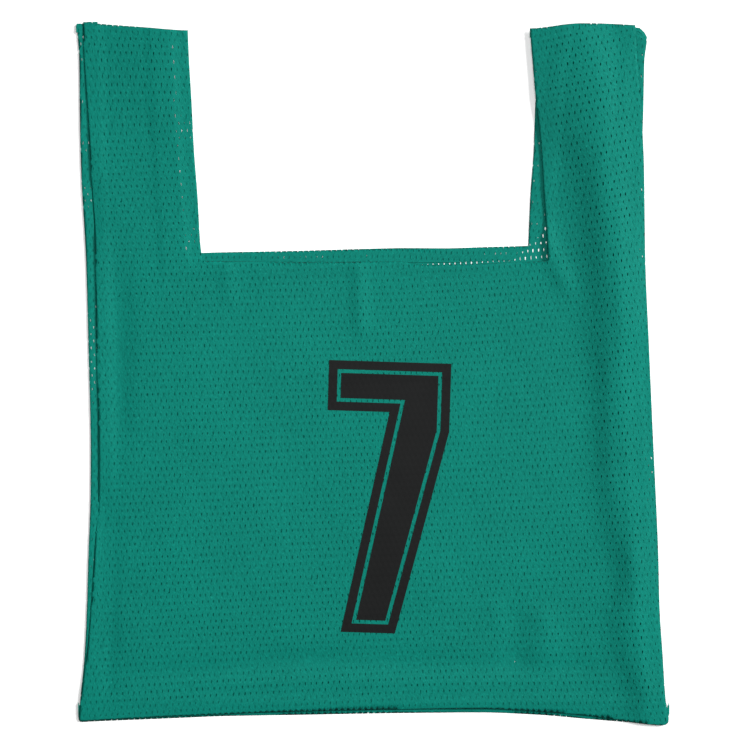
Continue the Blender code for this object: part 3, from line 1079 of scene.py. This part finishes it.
class Bench:
    """Lays out the nodes of one material."""

    def __init__(self, name: str) -> None:
        self.material = bpy.data.materials.new(name)
        self.material.use_nodes = True
        self.tree = self.material.node_tree
        self.tree.nodes.clear()

    def node(self, kind: str, settings: dict[str, Any] | None = None, sockets: dict[Any, Any] | None = None,
             output: int | str = 0) -> Wire:
        """Adds a node.

        Args:
            kind: the node's type.
            settings: its own settings, set first; "stops" are a ramp's places and colours.
            sockets: values or wires for its inputs, by name or number.
            output: which output is wanted.

        Returns:
            A wire on that output.
        """
        made = self.tree.nodes.new(kind)
        for name, value in (settings or {}).items():
            if name == "stops":
                for stop, (place, colour) in zip(made.color_ramp.elements, value):
                    stop.position, stop.color = place, (*colour, 1.0)
            else:
                setattr(made, name, value)
        for name, value in (sockets or {}).items():
            if isinstance(value, Wire):
                self.tree.links.new(value.socket, made.inputs[name])
            else:
                made.inputs[name].default_value = value
        return Wire(self, made.outputs[output] if made.outputs else None)

    def knit_place(self) -> tuple[Wire, Wire]:
        """The knit's own coordinates, in pitches along the rows and rows along the columns.

        Returns:
            The two coordinates.
        """
        uv = self.node("ShaderNodeUVMap", {"uv_map": "knit"})
        return (self.node("ShaderNodeSeparateXYZ", None, {0: uv}, 0),
                self.node("ShaderNodeSeparateXYZ", None, {0: uv}, 1))

    def noise(self, scale: float, detail: float = 2.0, roughness: float = 0.5) -> Wire:
        """Soft noise on object coordinates, from 0 to 1.

        Args:
            scale: its fineness.
            detail: its layers.
            roughness: how strong the fine layers are.

        Returns:
            The noise.
        """
        place = self.node("ShaderNodeTexCoord", None, None, "Object")
        return self.node("ShaderNodeTexNoise", {"noise_dimensions": "3D"},
                         {"Vector": place, "Scale": scale, "Detail": detail, "Roughness": roughness}, 0)

    def blend(self, factor: Wire, first: tuple, second: tuple) -> Wire:
        """Mix of two colours.

        Args:
            factor: share of the second.
            first: a colour.
            second: a colour.

        Returns:
            The mix.
        """
        return self.node("ShaderNodeMix", {"data_type": "RGBA"},
                         {0: factor, 6: (*first, 1.0), 7: (*second, 1.0)}, 2)

    def finish(self, surface: dict[str, Any]) -> bpy.types.Material:
        """Joins a Principled surface to the output and gives the material.

        Args:
            surface: its sockets.

        Returns:
            The material.
        """
        shader = self.node("ShaderNodeBsdfPrincipled", None, surface)
        self.node("ShaderNodeOutputMaterial", None, {"Surface": shader})
        return self.material


def shade(colour: tuple[float, ...], by: float) -> tuple[float, ...]:
    """A colour made lighter or darker."""
    return tuple(channel * by for channel in colour)


@dataclass(frozen=True)
class PolyesterKnit:
    """Warp-knitted polyester: fine V stitches in bundles around the holes, a little uneven in colour, with
    painted shade between the stitches and a painted highlight along raised slanting streak lines.
    """

    name: str
    colour: tuple[float, float, float]
    roughness: float = 0.6
    sheen: float = 0.01
    wales: float = 6.0
    courses: float = 8.0
    stitch: float = 0.35
    pitch: float = 5.5
    row: float = 6.65
    contrast: float = 0.5

    def material(self) -> bpy.types.Material:
        """Makes the material.

        The stitch height is cos(2 pi a) + cos(2 pi b), with a = wales s and b = courses t + saw(a).

        Returns:
            The knit's material.
        """
        bench = Bench(self.name)
        s, t = bench.knit_place()
        a = s * self.wales
        b = t * self.courses + a.saw()
        loops = (a * math.tau).sine() * 0.5 + (b * math.tau).sine() * 0.5
        patches = bench.noise(14.0, 3.0, 0.55)
        fibres = bench.noise(900.0, 2.0, 0.6)
        across, up = s * self.pitch, t * self.row
        slant = bench.node("ShaderNodeCombineXYZ", None, {0: (across + up * 0.45) * 1.1, 1: up * 0.28})
        # Slanting streak lines: real yarn relief in the bump, and a painted highlight where they feed the
        # base colour.
        streaks_and_painted_highlight = bench.node("ShaderNodeTexNoise", {"noise_dimensions": "2D"},
                             {"Vector": slant, "Scale": 1.0, "Detail": 1.0, "Roughness": 0.5})
        height = loops * self.stitch + fibres * 0.4 + streaks_and_painted_highlight * 0.5
        normal = bench.node("ShaderNodeBump", None, {"Strength": 0.35, "Distance": 0.00025, "Height": height})
        # Base colour: random patches of colour, plus painted light that is lighter on the raised stitches and
        # streak lines and painted shade that is darker between them.
        tone_and_painted_light = patches * 0.2 + streaks_and_painted_highlight * 0.65 + (loops + 1.0) * 0.075
        dark, light = shade(self.colour, 1 - self.contrast), shade(self.colour, 1 + self.contrast)
        colour = bench.blend(tone_and_painted_light, dark, light)
        return bench.finish({
            "Base Color": colour, "Roughness": fibres * 0.12 + (self.roughness - 0.06), "Normal": normal,
            "Sheen Weight": self.sheen, "Sheen Roughness": 0.45, "Specular IOR Level": 0.05,
        })


@dataclass(frozen=True)
class PrintFilm:
    """Matt black printed film that bridges the holes and sinks a little over each."""

    name: str = "black_print"
    colour: tuple[float, float, float] = (0.0078, 0.0083, 0.0083)
    roughness: float = 0.55

    def material(self) -> bpy.types.Material:
        """Makes the material: dimples at the holes' spacing, and a fine grain.

        Returns:
            The print's material.
        """
        bench = Bench(self.name)
        s, t = bench.knit_place()
        row = t.math("FLOOR")
        along = (s + row * 0.5) * math.tau
        up = t * math.tau
        dimples = (along.math("COSINE") * 0.5 + 0.5) * (0.5 - up.math("COSINE") * 0.5)
        fibres = bench.noise(700.0, 2.0, 0.6)
        height = fibres * 0.3 - dimples * 0.7
        normal = bench.node("ShaderNodeBump", None, {"Strength": 0.3, "Distance": 0.0004, "Height": height})
        colour = bench.blend(bench.noise(30.0, 3.0), shade(self.colour, 0.85), shade(self.colour, 1.15))
        return bench.finish({
            "Base Color": colour, "Roughness": fibres * 0.15 + (self.roughness - 0.07), "Normal": normal,
            "Specular IOR Level": 0.06,
        })


@dataclass(frozen=True)
class Ground:
    """The plain pale surface that the bib lies on."""

    reach: float = 4.0
    colour: tuple[float, float, float] = (0.92, 0.92, 0.92)

    def build(self) -> bpy.types.Object:
        """Makes a flat square net, plain but for a trace of unevenness in its roughness.

        Returns:
            The ground's object.
        """
        places = np.linspace(-self.reach, self.reach, 9)
        x, y = np.meshgrid(places, places)
        number = np.arange(x.size).reshape(x.shape)
        faces = np.stack([number[:-1, :-1], number[:-1, 1:], number[1:, 1:], number[1:, :-1]], -1)
        mesh = bpy.data.meshes.new("ground")
        mesh.from_pydata(np.stack([x, y, np.zeros_like(x)], -1).reshape(-1, 3).tolist(), [],
                         faces.reshape(-1, 4).tolist())
        bench = Bench("pale_ground")
        mesh.materials.append(bench.finish({
            "Base Color": (*self.colour, 1.0), "Roughness": bench.noise(40.0) * 0.1 + 0.6,
            "Specular IOR Level": 0.1, "Emission Color": (1.0, 1.0, 1.0, 1.0), "Emission Strength": 0.12,
        }))
        ground = bpy.data.objects.new("ground", mesh)
        bpy.context.scene.collection.objects.link(ground)
        return ground


@dataclass(frozen=True)
class Studio:
    """Soft studio light from the right, and a camera straight above the bib."""

    key_strength: float = 4.7
    key_spread: float = 20.0
    key_elevation: float = 31.0
    key_bearing: float = 24.0
    soft_power: float = 12.0
    soft_size: float = 0.9
    soft_place: tuple[float, float, float] = (0.08, 0.12, 1.35)
    fill: float = 0.12
    camera_height: float = 2.4
    view_width: float = 0.750
    aim: tuple[float, float] = (0.00254, -0.00108)

    def light(self) -> None:
        """Adds the key light, the soft light overhead and the pale surroundings."""
        lamp = bpy.data.lights.new("key_light", "SUN")
        lamp.energy, lamp.angle = self.key_strength, math.radians(self.key_spread)
        key = bpy.data.objects.new("key_light", lamp)
        rise, bearing = math.radians(self.key_elevation), math.radians(self.key_bearing)
        level = math.cos(rise)
        towards = Vector((level * math.cos(bearing), level * math.sin(bearing), math.sin(rise)))
        key.location = towards * 3.0
        key.rotation_euler = (-towards).to_track_quat("-Z", "Y").to_euler()
        bpy.context.scene.collection.objects.link(key)
        lamp = bpy.data.lights.new("soft_light", "AREA")
        lamp.shape, lamp.size, lamp.energy = "SQUARE", self.soft_size, self.soft_power
        soft = bpy.data.objects.new("soft_light", lamp)
        soft.location = self.soft_place
        soft.visible_camera = False
        bpy.context.scene.collection.objects.link(soft)
        world = bpy.data.worlds.new("pale_surroundings")
        world.use_nodes = True
        surroundings = world.node_tree.nodes["Background"]
        surroundings.inputs["Color"].default_value = (1.0, 1.0, 1.0, 1.0)
        surroundings.inputs["Strength"].default_value = self.fill
        bpy.context.scene.world = world

    def camera(self) -> None:
        """Sets the camera: its lens makes the view as wide as the photograph's frame at the cloth."""
        lens = bpy.data.cameras.new("camera")
        lens.sensor_width = 36.0
        lens.lens = 36.0 * self.camera_height / self.view_width
        lens.clip_end = 50.0
        camera = bpy.data.objects.new("camera", lens)
        camera.location = (*self.aim, self.camera_height)
        bpy.context.scene.collection.objects.link(camera)
        bpy.context.scene.camera = camera
        bpy.context.scene.view_settings.view_transform = "Standard"


def main() -> None:
    """Builds the bib, its ground and its studio, and reports each piece."""
    logging.basicConfig(level=logging.INFO, format="%(name)s: %(message)s")
    studio = Studio()
    studio.camera()
    lie = Lie()
    green = (0.0014, 0.155, 0.119)
    front_panel = Panel(FRONT, lie, "front_mesh")
    back_panel = Panel(BACK, lie, "back_mesh", ply_gap=lie.back_turned - lie.back_ply, knit=MeshKnit(phase=1))

    front, front_area = front_panel.build()
    front.data.materials.append(PolyesterKnit("front_knit", green).material())
    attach(front, "root")
    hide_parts("front_panel")
    LOG.info("front: %d triangles, cut %.3f m2", len(front.data.polygons), front_area)

    back, back_area = back_panel.build()
    back.data.materials.append(PolyesterKnit("back_knit", green).material())
    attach(back, "root")
    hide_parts("back_panel", "back_neck_hem", "back_left_hem", "back_strap_hem", "back_bottom_hem")
    LOG.info("back: %d triangles, cut %.3f m2", len(back.data.polygons), back_area)

    number = Numeral().build(front_panel)
    number.data.materials.append(PrintFilm().material())
    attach(number, "root")
    LOG.info("printed number: %d faces", len(number.data.polygons))

    Ground().build()
    studio.light()


if __name__ == "__main__":
    main()
